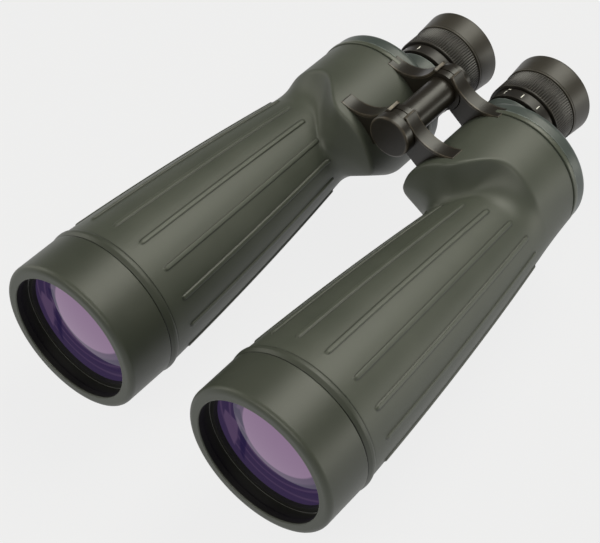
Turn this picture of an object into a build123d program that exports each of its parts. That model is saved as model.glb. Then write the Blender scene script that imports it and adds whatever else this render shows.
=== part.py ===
from build123d import *
import math
import os

# Large Porro-prism binoculars with a focus ring on each eyepiece. Millimetres.
# The left barrel (the user's left) lies on +X. It is modelled with its objective axis at z = 0 and the
# front of its hood at y = 0, mirrored for the right barrel, and moved to the resting frame on export.

# Spacing of the three axes, at an eye spacing of 64 mm
eye_spacing = 64.0
objective_spacing = 124.0
eyepiece_rise = 14.0
hinge_rise = 43.0

# Lengths along the barrel, from the front of the hood to the end of the eyecup
hood_length = 29.2
bead_length = 5.4
tube_length = 202.4
cover_depth = 13.0
boss_depth = 10.4
scale_band_length = 7.8
knurl_length = 16.4
eyecup_length = 15.4
shoulder_length = 31.0

# Hood, bead and tube
hood_radius = 43.6
hood_edge_round = 3.0
hood_lip = 6.8
hood_lip_length = 4.0
hood_recess = 1.5
hood_wall = 3.0
bead_proud = 0.7
tube_setback = 0.3
tube_rear_radius = 23.4
tube_bulge = 2.4
armour_thickness = 2.0
casting_wall = 2.5

# Ribs moulded on the armour
rib_count = 15
rib_first_angle = 10.5
rib_width = 2.4
rib_height = 0.8
rib_front_gap = 11.5
rib_rear_gap = 5.9

# Round prism housing, centred a little outside the middle of the two optical axes
housing_radius = 38.8
housing_shift_x = 1.4
housing_shift_z = -0.2
housing_edge_bevel = 3.5
lug_ramp_offset = 5.6
lug_ramp_angle = 46.0

# Underside of the housing: the way it faces in XZ, its slope to the barrel, its room to the front prism
under_turn = 239.2
under_slope = 30.6
under_room = 0.4

# Objective
lens_rim = 0.8
lens_front = 12.6
crown_edge = 3.4
crown_front_sag = 4.2
crown_rear_sag = 3.0
flint_edge = 6.0
flint_rear_sag = 0.8
lens_spacer_length = 0.8
cell_wall = 1.7
spigot_wall = 2.7
cell_seat_length = 1.6
retainer_length = 2.6
baffle_depth = 75.4
baffle_opening_radius = 24.0
baffle_length = 3.0

# Porro prisms: each one steps the light sideways by half of its long face
shelf_thickness = 3.0
shelf_aperture_radius = 9.5
prism_half_width = 10.0
prism_end_cut = 2.4
prism_rear_room = 1.8
prism_front_room = 4.4
clip_thickness = 0.7
clip_width = 4.0
shelf_ledge = 1.8

# Rear cover
cover_proud = 0.2
cover_bead_length = 3.4
cover_bead_proud = 0.5
cover_edge_round = 5.0
cover_wall = 2.5
boss_radius = 21.0
post_radius = 3.0
post_inset = 5.4
post_angles = (25.0, 100.0, 212.0, 270.0)
cover_screw_radius = 1.2
cover_screw_head_radius = 2.3
cover_screw_head_length = 1.8
cover_screw_bite = 6.0

# Eyepiece
focus_sleeve_radius = 17.0
focus_sleeve_wall = 2.5
focus_sleeve_rear_gap = 3.0
focus_travel = 1.75
focus_stop_room = 0.45
scale_band_radius = 21.4
scale_band_wall = 0.9
tick_count = 3
tick_step_angle = 30.0
tick_length = 3.4
tick_width = 0.6
tick_depth = 0.3
knurl_radius = 23.3
knurl_depth = 0.6
knurl_count = 96
ring_neck_radius = 20.9
ring_neck_length = 6.0
cell_flange_radius = 19.0
cell_flange_thickness = 2.0
cell_front_gap = 2.0
cell_glass_wall = 1.6
eye_lens_thickness = 5.0
eye_lens_sag = 1.6
field_lens_thickness = 6.0
field_lens_sag = 2.0
field_lens_station = 12.0
cell_stop_length = 1.5
cell_stop_lip = 1.2
snap_ring_wall = 2.6
snap_ring_length = 1.2
eyecup_root_radius = 23.6
eyecup_end_radius = 25.1
eyecup_lip = 3.2
eyecup_end_round = 1.4

# Hinge
front_arm_setback = 5.0
rear_arm_lead = 3.5
arm_length = 9.0
flange_thickness = 1.8
flange_curve_radius = 24.0
flange_curve_x = 27.5
flange_curve_rise = 23.3
flange_inner_angle = 207.0
flange_outer_angle = 292.5
web_thickness = 3.0
web_inset = 0.4
web_root_angles = (108.0, 152.0)
web_lower_x = 5.0
web_lower_drop = 10.0
knuckle_radius = 11.6
knuckle_room = 0.5
knuckle_bridge_radius = 17.0
shaft_radius = 5.0
shaft_head_radius = 8.0
sleeve_radius = 9.0
washer_radius = 10.8
washer_thickness = 0.5
front_cap_radius = 12.5
front_cap_length = 6.4
front_cap_face = 1.9
front_cap_edge_round = 0.8
tripod_thread_radius = 3.175
tripod_socket_depth = 16.0
rear_cap_radius = 10.0
rear_cap_face = 1.5
shaft_tail = 3.0
arm_screw_radius = 0.9
arm_screw_head_radius = 1.7
arm_screw_head_length = 1.0
arm_screw_bite = 4.0
arm_screw_angles = (128.0, 147.0)

# Clearances
seat_gap = 0.03
running_gap = 0.06
face_gap = 0.3

# The three axes, and the prism that steps the light between them
objective_x = objective_spacing / 2
eyepiece_x = eye_spacing / 2
step_x = eyepiece_x - objective_x
prism_step = math.hypot(step_x, eyepiece_rise) / math.sqrt(2)
prism_reach = prism_step + clip_thickness * math.sqrt(2)

# Stations worked out from the lengths above
bead_end = hood_length + bead_length
seam = bead_end + tube_length
cover_rear = seam + cover_depth
boss_end = cover_rear + boss_depth
ring_front = boss_end + focus_travel + focus_stop_room
knurl_front = ring_front + scale_band_length
knurl_rear = knurl_front + knurl_length
overall_length = knurl_rear + eyecup_length
shelf_rear = cover_rear - cover_wall - prism_rear_room - prism_step
shelf_front = shelf_rear - shelf_thickness
shoulder_front = seam - shoulder_length
lug_front = shelf_front - prism_reach - prism_front_room - casting_wall - armour_thickness
front_arm_station = lug_front + front_arm_setback
rear_arm_station = seam - rear_arm_lead

# Radii worked out from the hood's and the housing's
hood_opening_radius = hood_radius - hood_lip
hood_recess_radius = hood_opening_radius + hood_recess
spigot_radius = hood_radius - hood_wall
bead_radius = hood_radius + bead_proud
tube_front_radius = hood_radius - tube_setback
lens_radius = spigot_radius - spigot_wall - cell_wall
lens_clear_radius = lens_radius - lens_rim
cover_radius = housing_radius + cover_proud
casting_radius = housing_radius - armour_thickness
chamber_radius = casting_radius - casting_wall

# A bevel of 45 degrees set in by 1 mm gets this much shorter
bevel_shrink = 2 - math.sqrt(2)

# The housing's axis
housing_x = (objective_x + eyepiece_x) / 2 + housing_shift_x
housing_z = eyepiece_rise / 2 + housing_shift_z


def cylinder(x, z, radius, start, end):
    """A round bar along Y."""
    base = Plane(origin=(x, start, z), x_dir=(1, 0, 0), z_dir=(0, 1, 0))
    return extrude(base * Circle(radius), end - start)


def ring(x, z, outer, inner, start, end):
    """A tube along Y."""
    return cylinder(x, z, outer, start, end) - cylinder(x, z, inner, start, end)


def turned(x, z, edges):
    """A solid of revolution about an axis along Y, from edges drawn as (radius, station)."""
    return Pos(x, 0, z) * revolve(make_face(edges), Axis.Y)


def outline(*points):
    """A closed line through points, as edges for a face."""
    return Polyline(*points, close=True).edges()


def curve(edge_radius, edge_station, vertex_station):
    """A lens surface, from its edge to its vertex on the axis."""
    drop = vertex_station - edge_station
    bow = (edge_radius ** 2 + drop ** 2) / (2 * drop)
    half_angle = math.asin(edge_radius / abs(bow)) / 2
    middle = (abs(bow) * math.sin(half_angle), vertex_station - bow * (1 - math.cos(half_angle)))
    return ThreePointArc((edge_radius, edge_station), middle, (0, vertex_station))


def lens(x, z, radius, clear_radius, start, end, start_vertex, end_vertex):
    """A round lens with flat rims, from the stations of its rims and of its vertices."""
    edges = [
        curve(clear_radius, start, start_vertex),
        Line((0, start_vertex), (0, end_vertex)),
        curve(clear_radius, end, end_vertex),
        Line((clear_radius, end), (radius, end)),
        Line((radius, end), (radius, start)),
        Line((radius, start), (clear_radius, start)),
    ]
    return turned(x, z, edges)


def beyond(point, direction, distance):
    """The point at a distance from another in the XZ plane, along a unit direction."""
    return point[0] + direction[0] * distance, point[1] + direction[1] * distance


def housing_point(radius, angle):
    """A point in the XZ plane by its radius and angle about the housing's axis."""
    turn = math.radians(angle)
    return housing_x + radius * math.cos(turn), housing_z + radius * math.sin(turn)


def slab(centre, along, half_length, half_width, start, end):
    """A straight block along Y whose section in XZ is a turned rectangle."""
    base = Plane(origin=(centre[0], start, centre[1]), x_dir=(along[0], 0, along[1]), z_dir=(0, 1, 0))
    return extrude(base * Rectangle(2 * half_length, 2 * half_width), end - start)


def plate(edges, start, end):
    """A plate whose outline is drawn in X and Z, thickened along Y."""
    return Pos(0, end, 0) * Rot(90, 0, 0) * extrude(make_face(edges), end - start)


# The light goes from the objective axis to the middle axis in the rear prism, and on to the eyepiece
# axis in the front prism. The two steps are equal and square to each other.
rear_along = ((step_x - eyepiece_rise) / 2 / prism_step, (step_x + eyepiece_rise) / 2 / prism_step)
front_along = (rear_along[1], -rear_along[0])
middle_axis = beyond((objective_x, 0), rear_along, prism_step)
rear_prism_centre = beyond((objective_x, 0), rear_along, prism_step / 2)
front_prism_centre = beyond(middle_axis, front_along, prism_step / 2)


def under_reach(point, station):
    """How far out a point lies towards the housing's sloping underside."""
    turn = math.radians(under_turn)
    slope = math.radians(under_slope)
    across = point[0] * math.cos(turn) + point[1] * math.sin(turn)
    return across * math.cos(slope) - station * math.sin(slope)


# The underside clears the front prism's inner edge, from the prism's peak to its lower end
prism_side = beyond(front_prism_centre, rear_along, prism_half_width)
prism_low_end = beyond(prism_side, front_along, prism_end_cut - prism_step)
peak_reach = under_reach(prism_side, shelf_front - prism_step)
low_end_reach = under_reach(prism_low_end, shelf_front - prism_end_cut)
under_edge = max(peak_reach, low_end_reach) + under_room + casting_wall + armour_thickness


def tube_form(inset):
    """The tapered tube, a gently bulging curve, set in from the armour's surface."""
    front = (tube_front_radius - inset, bead_end)
    rear = (tube_rear_radius - inset, seam)
    middle = ((front[0] + rear[0]) / 2 + tube_bulge, (bead_end + seam) / 2)
    edges = [
        ThreePointArc(front, middle, rear),
        Line(rear, (0, seam)),
        Line((0, seam), (0, bead_end)),
        Line((0, bead_end), front),
    ]
    return turned(objective_x, 0, edges)


def bevelled_drum(radius, start, end, edge):
    """A drum on the housing's axis with its front edge bevelled."""
    points = ((0, start), (radius - edge, start), (radius, start + edge), (radius, end), (0, end))
    return turned(housing_x, housing_z, outline(*points))


def lug_plan(inset):
    """The space behind the lug's front and the ramp that runs back from it towards the shoulder."""
    turn = math.radians(lug_ramp_angle)
    reach = 2 * housing_radius
    front = lug_front + inset
    corner = eyepiece_x + lug_ramp_offset - inset * math.tan(turn / 2)
    far = corner + (seam - front) / math.tan(turn)
    near = housing_x - reach
    face = make_face(outline((near, front), (corner, front), (far, seam), (near, seam)))
    return extrude(face, reach, both=True)


def underside(inset):
    """The space above the housing's sloping underside, set in from the armour's surface."""
    turn = math.radians(under_turn)
    slope = math.radians(under_slope)
    out = (math.cos(turn) * math.cos(slope), -math.sin(slope), math.sin(turn) * math.cos(slope))
    distance = under_edge - inset
    base = Plane(
        origin=(out[0] * distance, out[1] * distance, out[2] * distance),
        x_dir=(-math.sin(turn), 0, math.cos(turn)),
        z_dir=(-out[0], -out[1], -out[2]),
    )
    return extrude(base * Rectangle(4 * overall_length, 4 * overall_length), 2 * overall_length)


def housing_form(inset):
    """Tube, round housing and forward lug as one solid, set in from the armour's surface."""
    radius = housing_radius - inset
    edge = housing_edge_bevel - inset * bevel_shrink
    drum = bevelled_drum(radius, shoulder_front + inset, seam, edge)
    lug = bevelled_drum(radius, lug_front + inset, seam, edge) & lug_plan(inset)
    above = underside(inset)
    return (lug & above) + tube_form(inset) + (drum & above)


def ribs():
    """The raised ribs, evenly spread round the tube."""
    start = bead_end + rib_front_gap
    end = lug_front - rib_rear_gap
    window = cylinder(objective_x, 0, 2 * tube_front_radius, start, end)
    skin = (tube_form(-rib_height) - tube_form(rib_height)) & window
    bars = []
    for number in range(rib_count):
        turn = math.radians(rib_first_angle + number * 360 / rib_count)
        along = (math.cos(turn), math.sin(turn))
        centre = beyond((objective_x, 0), along, tube_front_radius)
        bars.append(skin & slab(centre, along, tube_front_radius, rib_width / 2, start, end))
    return bars


def posts(start, end, radius):
    """One bar at each screw post of the rear cover."""
    bars = []
    for angle in post_angles:
        x, z = housing_point(casting_radius - post_inset, angle)
        bars.append(cylinder(x, z, radius, start, end))
    return bars


def hinge_arm(station, knuckle_first):
    """One hinge arm: a curved flange on a web, with a round knuckle on half of its length."""
    end = station + arm_length
    angles = (flange_inner_angle, (flange_inner_angle + flange_outer_angle) / 2, flange_outer_angle)
    top = []
    under = []
    for angle in angles:
        along = (math.cos(math.radians(angle)), math.sin(math.radians(angle)))
        centre = (flange_curve_x, hinge_rise + flange_curve_rise)
        top.append(beyond(centre, along, flange_curve_radius))
        under.append(beyond(centre, along, flange_curve_radius + flange_thickness))
    flange = plate([
        ThreePointArc(*top),
        Line(top[2], under[2]),
        ThreePointArc(under[2], under[1], under[0]),
        Line(under[0], top[0]),
    ], station, end)
    upper_root, lower_root = [housing_point(chamber_radius, angle) for angle in web_root_angles]
    lower = (web_lower_x, hinge_rise - web_lower_drop)
    web_edges = [
        ThreePointArc(*under),
        Line(under[2], upper_root),
        Line(upper_root, lower_root),
        Line(lower_root, lower),
        Line(lower, under[0]),
    ]
    web_start = station + web_inset
    web = plate(web_edges, web_start, web_start + web_thickness)
    bridge = plate(web_edges, web_start, end - web_inset)
    bridge = bridge & cylinder(0, hinge_rise, knuckle_bridge_radius, station, end)
    half = (arm_length - washer_thickness) / 2 - running_gap
    if knuckle_first:
        knuckle = cylinder(0, hinge_rise, knuckle_radius, station, station + half)
        room = cylinder(0, hinge_rise, knuckle_radius + knuckle_room, station + half, end)
    else:
        knuckle = cylinder(0, hinge_rise, knuckle_radius, end - half, end)
        room = cylinder(0, hinge_rise, knuckle_radius + knuckle_room, station, end - half)
    arm = flange + web + bridge - room + knuckle
    arm = arm - cylinder(0, hinge_rise, shaft_radius + running_gap, station, end)
    return arm - cylinder(housing_x, housing_z, casting_radius, station, end)


def arm_screws(gap):
    """The radial screws that hold both arms, as separate solids, or the holes for them with a gap."""
    bars = []
    for station in (front_arm_station, rear_arm_station):
        y = station + web_inset + web_thickness / 2
        inner = chamber_radius - shelf_ledge if y < shelf_front else chamber_radius
        for angle in arm_screw_angles:
            x, z = housing_point(inner, angle)
            turn = math.radians(angle)
            axis = Plane(origin=(x, y, z), x_dir=(0, 1, 0), z_dir=(math.cos(turn), 0, math.sin(turn)))
            bite = casting_radius - inner + arm_screw_bite
            bar = extrude(axis * Circle(arm_screw_radius + gap), bite)
            bars.append(bar + extrude(axis * Circle(arm_screw_head_radius + gap), -arm_screw_head_length))
    return bars


def barrel_parts(arms):
    """Every piece of the left barrel, by name."""
    made = {}
    form = housing_form(0)
    core = housing_form(armour_thickness)
    ox = objective_x

    # Armour, casting and what screws on the casting's front
    armour = form + ribs() - core
    for arm in arms:
        armour = armour - arm
    made["armour"] = armour
    inset = armour_thickness + casting_wall
    narrow = chamber_radius - shelf_ledge
    above = underside(inset)
    lug = cylinder(housing_x, housing_z, narrow, lug_front + inset, shelf_front) & lug_plan(inset)
    drum = cylinder(housing_x, housing_z, narrow, shoulder_front + inset, shelf_front)
    chamber = cylinder(housing_x, housing_z, chamber_radius, shelf_front, seam)
    hollow = (lug & above) + tube_form(inset) + (drum & above) + (chamber & above)
    cell_radius = lens_radius + cell_wall
    cell_front = lens_front - retainer_length
    flint_front = lens_front + crown_edge + lens_spacer_length
    flint_rear = flint_front + flint_edge
    cell_rear = flint_rear + cell_seat_length
    bite = shelf_front - cover_screw_bite
    casting = core + cylinder(ox, 0, spigot_radius, cell_front, bead_end) - hollow
    casting = casting - cylinder(ox, 0, cell_radius + seat_gap, cell_front, cell_rear)
    casting = casting - cylinder(ox, 0, lens_clear_radius, cell_rear, bead_end)
    casting = casting + [bar & core for bar in posts(bite - post_radius, shelf_front, post_radius)]
    casting = casting - posts(bite, shelf_front, cover_screw_radius + seat_gap)
    made["body_casting"] = casting - arm_screws(seat_gap)
    edge = hood_edge_round
    bend = edge * (1 - math.sqrt(0.5))
    made["hood"] = turned(ox, 0, [
        Line((hood_opening_radius, 0), (hood_radius - edge, 0)),
        ThreePointArc((hood_radius - edge, 0), (hood_radius - bend, bend), (hood_radius, edge)),
        Line((hood_radius, edge), (hood_radius, hood_length)),
        Line((hood_radius, hood_length), (spigot_radius + seat_gap, hood_length)),
        Line((spigot_radius + seat_gap, hood_length), (spigot_radius + seat_gap, cell_front)),
        Line((spigot_radius + seat_gap, cell_front), (hood_recess_radius, cell_front)),
        Line((hood_recess_radius, cell_front), (hood_recess_radius, hood_lip_length)),
        Line((hood_recess_radius, hood_lip_length), (hood_opening_radius, hood_lip_length)),
        Line((hood_opening_radius, hood_lip_length), (hood_opening_radius, 0)),
    ])
    bead_flank = bead_radius - bead_length / 4
    made["bead_ring"] = turned(ox, 0, [
        Line((spigot_radius + seat_gap, hood_length), (bead_flank, hood_length)),
        ThreePointArc((bead_flank, hood_length), (bead_radius, hood_length + bead_length / 2),
                      (bead_flank, bead_end)),
        Line((bead_flank, bead_end), (spigot_radius + seat_gap, bead_end)),
        Line((spigot_radius + seat_gap, bead_end), (spigot_radius + seat_gap, hood_length)),
    ])

    # Objective, from the front: retainer, crown glass, spacer, flint glass, seat
    cell = ring(ox, 0, cell_radius, lens_radius + seat_gap, cell_front, flint_rear)
    made["objective_cell"] = cell + ring(ox, 0, cell_radius, lens_clear_radius, flint_rear, cell_rear)
    made["lens_retainer"] = ring(ox, 0, lens_radius, lens_clear_radius, cell_front, lens_front)
    crown_rear = lens_front + crown_edge
    made["crown_lens"] = lens(ox, 0, lens_radius, lens_clear_radius, lens_front, crown_rear,
                              lens_front - crown_front_sag, crown_rear + crown_rear_sag)
    made["lens_spacer"] = ring(ox, 0, lens_radius, lens_clear_radius, crown_rear, flint_front)
    made["flint_lens"] = lens(ox, 0, lens_radius, lens_clear_radius, flint_front, flint_rear,
                              flint_front + crown_rear_sag, flint_rear + flint_rear_sag)
    baffle_front = bead_end + baffle_depth
    baffle_rear = baffle_front + baffle_length
    baffle = tube_form(inset) & cylinder(ox, 0, tube_front_radius, baffle_front, baffle_rear)
    made["baffle_ring"] = baffle - cylinder(ox, 0, baffle_opening_radius, baffle_front, baffle_rear)

    # Prism shelf with its two prisms and their spring straps
    shelf = cylinder(housing_x, housing_z, chamber_radius - seat_gap, shelf_front, shelf_rear)
    shelf = shelf & underside(inset + seat_gap)
    for x, z in ((objective_x, 0), middle_axis, (eyepiece_x, eyepiece_rise)):
        shelf = shelf - cylinder(x, z, shelf_aperture_radius, shelf_front, shelf_rear)
    made["prism_shelf"] = shelf - posts(shelf_front, shelf_rear, cover_screw_radius + seat_gap)

    def prism_section(grow):
        half = prism_step - prism_end_cut + grow
        flat = prism_end_cut + grow * (math.sqrt(2) - 1)
        peak = prism_step + grow * math.sqrt(2)
        return outline((-half, 0), (half, 0), (half, flat), (0, peak), (-half, flat))

    def prism_solid(centre, along, station, facing, grow, half_width):
        base = Plane(origin=(centre[0], station, centre[1]), x_dir=(along[0], 0, along[1]),
                     z_dir=(-facing * along[1], 0, facing * along[0]))
        return extrude(base * make_face(prism_section(grow)), half_width, both=True)

    clips = []
    for name, centre, along, station, facing in (
        ("rear_prism", rear_prism_centre, rear_along, shelf_rear, 1),
        ("front_prism", front_prism_centre, front_along, shelf_front, -1),
    ):
        made[name] = prism_solid(centre, along, station, facing, 0, prism_half_width)
        strap = prism_solid(centre, along, station, facing, clip_thickness, clip_width / 2)
        clips.append(strap - prism_solid(centre, along, station, facing, seat_gap, clip_width))
    made["prism_clips"] = Compound(clips)

    # Rear cover with its eyepiece boss and screw posts
    wall_front = cover_rear - cover_wall
    proud = cover_radius + cover_bead_proud
    edge = cover_edge_round
    bend = edge * (1 - math.sqrt(0.5))
    cover = turned(housing_x, housing_z, [
        Line((chamber_radius, seam), (proud, seam)),
        Line((proud, seam), (proud, seam + cover_bead_length)),
        Line((proud, seam + cover_bead_length), (cover_radius, seam + cover_bead_length)),
        Line((cover_radius, seam + cover_bead_length), (cover_radius, cover_rear - edge)),
        ThreePointArc((cover_radius, cover_rear - edge), (cover_radius - bend, cover_rear - bend),
                      (cover_radius - edge, cover_rear)),
        Line((cover_radius - edge, cover_rear), (0, cover_rear)),
        Line((0, cover_rear), (0, wall_front)),
        Line((0, wall_front), (chamber_radius, wall_front)),
        Line((chamber_radius, wall_front), (chamber_radius, seam)),
    ])
    ex, ez = eyepiece_x, eyepiece_rise
    inside = cylinder(housing_x, housing_z, chamber_radius - seat_gap, shelf_rear, wall_front)
    cover = cover + cylinder(ex, ez, boss_radius, cover_rear - edge, boss_end)
    cover = cover - inside + [bar & inside for bar in posts(shelf_rear, wall_front, post_radius)]
    cover = cover - cylinder(ex, ez, focus_sleeve_radius + seat_gap, wall_front, boss_end)
    cover = cover - posts(shelf_rear, cover_rear, cover_screw_radius + seat_gap)
    head_seat = cover_rear - cover_screw_head_length
    cover = cover - posts(head_seat, cover_rear, cover_screw_head_radius + seat_gap)
    for arm in arms:
        cover = cover - arm
    made["rear_cover"] = cover
    shanks = posts(bite, head_seat, cover_screw_radius)
    heads = posts(head_seat, cover_rear, cover_screw_head_radius)
    made["cover_screws"] = Compound([shank + head for shank, head in zip(shanks, heads)])

    # Eyepiece: fixed sleeve, keyed lens cell and the ring that drives it
    sleeve_bore = focus_sleeve_radius - focus_sleeve_wall
    sleeve_end = knurl_rear - focus_sleeve_rear_gap
    made["focus_sleeve"] = ring(ex, ez, focus_sleeve_radius, sleeve_bore, wall_front, sleeve_end)
    barrel = sleeve_bore - running_gap
    glass = barrel - cell_glass_wall
    front = wall_front + cell_front_gap
    flange_front = knurl_rear + running_gap
    flange_rear = flange_front + cell_flange_thickness
    field_front = front + field_lens_station
    eye_front = flange_rear - eye_lens_thickness
    stop = glass - cell_stop_lip
    lens_cell = turned(ex, ez, outline(
        (barrel, front), (barrel, flange_front), (cell_flange_radius, flange_front),
        (cell_flange_radius, flange_rear), (glass + seat_gap, flange_rear), (glass + seat_gap, eye_front),
        (stop, eye_front), (stop, eye_front - cell_stop_length),
        (glass + seat_gap, eye_front - cell_stop_length),
        (glass + seat_gap, field_front), (stop, field_front), (stop, field_front - cell_stop_length),
        (glass, field_front - cell_stop_length), (glass, front)))
    made["lens_cell"] = lens_cell
    field_rear = field_front + field_lens_thickness
    made["field_lens"] = lens(ex, ez, glass, stop, field_front, field_rear,
                              field_front - field_lens_sag, field_rear + field_lens_sag)
    made["eye_lens"] = lens(ex, ez, glass, stop, eye_front, flange_rear,
                            eye_front - eye_lens_sag, flange_rear + eye_lens_sag)
    bore = focus_sleeve_radius + running_gap
    neck_bore = cell_flange_radius + running_gap
    neck_rear = knurl_rear + ring_neck_length
    band_seat = scale_band_radius - scale_band_wall
    teeth = []
    for number in range(2 * knurl_count):
        turn = math.pi * number / knurl_count
        reach = knurl_radius - knurl_depth * (number % 2)
        teeth.append((ex + reach * math.cos(turn), ez + reach * math.sin(turn)))
    grip = plate(outline(*teeth), knurl_front, knurl_rear)
    grip = grip + cylinder(ex, ez, band_seat, ring_front, knurl_front)
    grip = grip + cylinder(ex, ez, ring_neck_radius, knurl_rear, neck_rear)
    grip = grip - cylinder(ex, ez, bore, ring_front, knurl_rear)
    made["focus_ring"] = grip - cylinder(ex, ez, neck_bore, knurl_rear, neck_rear)
    snap_front = flange_rear + running_gap
    made["snap_ring"] = ring(ex, ez, neck_bore - seat_gap, neck_bore - snap_ring_wall, snap_front,
                             snap_front + snap_ring_length)
    band = ring(ex, ez, scale_band_radius, band_seat + seat_gap, ring_front, knurl_front)
    for number in range(tick_count):
        turn = math.radians(90 + (number - (tick_count - 1) / 2) * tick_step_angle)
        along = (math.cos(turn), math.sin(turn))
        middle = beyond((ex, ez), along, scale_band_radius)
        tick_end = knurl_front - (scale_band_length - tick_length) / 2
        band = band - slab(middle, along, tick_depth, tick_width / 2, tick_end - tick_length, tick_end)
    made["scale_band"] = band
    tip = eyecup_end_round
    lip_radius = eyecup_end_radius - eyecup_lip
    bend = tip * (1 - math.sqrt(0.5))
    made["eyecup"] = turned(ex, ez, [
        Line((ring_neck_radius + seat_gap, knurl_rear), (eyecup_root_radius, knurl_rear)),
        Line((eyecup_root_radius, knurl_rear), (eyecup_end_radius, overall_length - tip)),
        ThreePointArc((eyecup_end_radius, overall_length - tip),
                      (eyecup_end_radius - bend, overall_length - bend),
                      (eyecup_end_radius - tip, overall_length)),
        Line((eyecup_end_radius - tip, overall_length), (lip_radius, overall_length)),
        Line((lip_radius, overall_length), (ring_neck_radius + seat_gap, neck_rear)),
        Line((ring_neck_radius + seat_gap, neck_rear), (ring_neck_radius + seat_gap, knurl_rear)),
    ])
    return made


def hinge_parts():
    """The pieces on the hinge's axis, by name."""
    made = {}
    front_end = front_arm_station + arm_length
    rear_end = rear_arm_station + arm_length
    cap_rear = front_arm_station - face_gap
    cap_front = cap_rear - front_cap_length
    recess = cap_front + front_cap_face
    head_front = recess + running_gap
    head_rear = front_arm_station - running_gap
    shaft = cylinder(0, hinge_rise, shaft_radius, head_front, rear_end + shaft_tail)
    shaft = shaft + cylinder(0, hinge_rise, shaft_head_radius, head_front, head_rear)
    socket_end = head_front + tripod_socket_depth
    made["hinge_shaft"] = shaft - cylinder(0, hinge_rise, tripod_thread_radius, head_front, socket_end)
    bore = shaft_radius + seat_gap
    sleeve_front = front_end + running_gap
    sleeve_rear = rear_arm_station - running_gap
    made["hinge_sleeve"] = ring(0, hinge_rise, sleeve_radius, bore, sleeve_front, sleeve_rear)
    washers = []
    for station in (front_arm_station, rear_arm_station):
        middle = station + arm_length / 2
        half = washer_thickness / 2
        washers.append(ring(0, hinge_rise, washer_radius, bore, middle - half, middle + half))
    made["hinge_washers"] = Compound(washers)
    edge = front_cap_edge_round
    bend = edge * (1 - math.sqrt(0.5))
    cap_bore = shaft_head_radius + running_gap
    made["front_cap"] = turned(0, hinge_rise, [
        Line((0, cap_front), (front_cap_radius - edge, cap_front)),
        ThreePointArc((front_cap_radius - edge, cap_front), (front_cap_radius - bend, cap_front + bend),
                      (front_cap_radius, cap_front + edge)),
        Line((front_cap_radius, cap_front + edge), (front_cap_radius, cap_rear)),
        Line((front_cap_radius, cap_rear), (cap_bore, cap_rear)),
        Line((cap_bore, cap_rear), (cap_bore, recess)),
        Line((cap_bore, recess), (0, recess)),
        Line((0, recess), (0, cap_front)),
    ])
    nut_front = rear_end + running_gap
    nut = cylinder(0, hinge_rise, rear_cap_radius, nut_front, rear_end + shaft_tail + rear_cap_face)
    made["rear_cap"] = nut - cylinder(0, hinge_rise, bore, nut_front, rear_end + shaft_tail)
    return made


def main():
    pieces = {}
    arms = {}
    for name, station in (("front_arm", front_arm_station), ("rear_arm", rear_arm_station)):
        arms[name] = hinge_arm(station, False)
        right_arm = hinge_arm(station, True)
        pieces["left_" + name] = arms[name] - arm_screws(seat_gap)
        pieces["right_" + name] = mirror(right_arm - arm_screws(seat_gap), about=Plane.YZ)
    barrel = barrel_parts(list(arms.values()))
    barrel["arm_screws"] = Compound(arm_screws(0))
    for name, piece in barrel.items():
        pieces["left_" + name] = piece
        pieces["right_" + name] = mirror(piece, about=Plane.YZ)
    pieces.update(hinge_parts())
    place = Pos(0, -overall_length / 2, bead_radius)
    os.makedirs("parts", exist_ok=True)
    for name, piece in pieces.items():
        export_step(place * piece, "parts/" + name + ".step")
    print(len(pieces), "nodes, overall length", overall_length)


main()
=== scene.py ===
import math
import bpy
import bmesh
import numpy as np
from mathutils import Matrix, Vector


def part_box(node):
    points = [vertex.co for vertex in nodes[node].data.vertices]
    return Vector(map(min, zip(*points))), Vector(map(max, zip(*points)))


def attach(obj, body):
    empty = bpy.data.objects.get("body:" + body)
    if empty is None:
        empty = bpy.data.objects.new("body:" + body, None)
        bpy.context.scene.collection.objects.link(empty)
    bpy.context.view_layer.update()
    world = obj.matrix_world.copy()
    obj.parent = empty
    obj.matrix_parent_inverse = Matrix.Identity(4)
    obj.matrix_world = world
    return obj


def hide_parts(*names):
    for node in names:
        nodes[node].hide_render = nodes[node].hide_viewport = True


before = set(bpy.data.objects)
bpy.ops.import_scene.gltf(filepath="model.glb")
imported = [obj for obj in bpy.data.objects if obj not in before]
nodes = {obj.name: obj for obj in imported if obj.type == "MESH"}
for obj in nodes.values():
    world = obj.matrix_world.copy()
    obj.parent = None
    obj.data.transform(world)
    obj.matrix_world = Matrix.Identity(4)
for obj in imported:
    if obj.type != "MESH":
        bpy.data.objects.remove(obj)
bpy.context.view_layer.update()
mm = 0.001
sides = {"left": 1.0, "right": -1.0}  # +X is the user's left
print("stage: frame loaded,", len(nodes), "nodes")


# Shader maths

class Wire:
    # one socket's value; sums and products of wires become Math nodes
    def __init__(self, finish, socket):
        self.finish, self.socket = finish, socket

    def join(self, operation, first, second=0.0):
        made = self.finish.add("ShaderNodeMath", {"operation": operation}, {0: first, 1: second})
        return Wire(self.finish, made.outputs[0])

    def __add__(self, other):
        return self.join("ADD", self, other)

    def __radd__(self, other):
        return self.join("ADD", other, self)

    def __sub__(self, other):
        return self.join("SUBTRACT", self, other)

    def __rsub__(self, other):
        return self.join("SUBTRACT", other, self)

    def __mul__(self, other):
        return self.join("MULTIPLY", self, other)

    def __rmul__(self, other):
        return self.join("MULTIPLY", other, self)

    def atMost(self, other):
        return self.join("MINIMUM", self, other)

    def between(self, low, high):
        # 0 below low, 1 above high, soft in between
        kind = {"interpolation_type": "SMOOTHSTEP"}
        made = self.finish.add("ShaderNodeMapRange", kind, {"Value": self, "From Min": low, "From Max": high})
        return Wire(self.finish, made.outputs[0])


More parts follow.
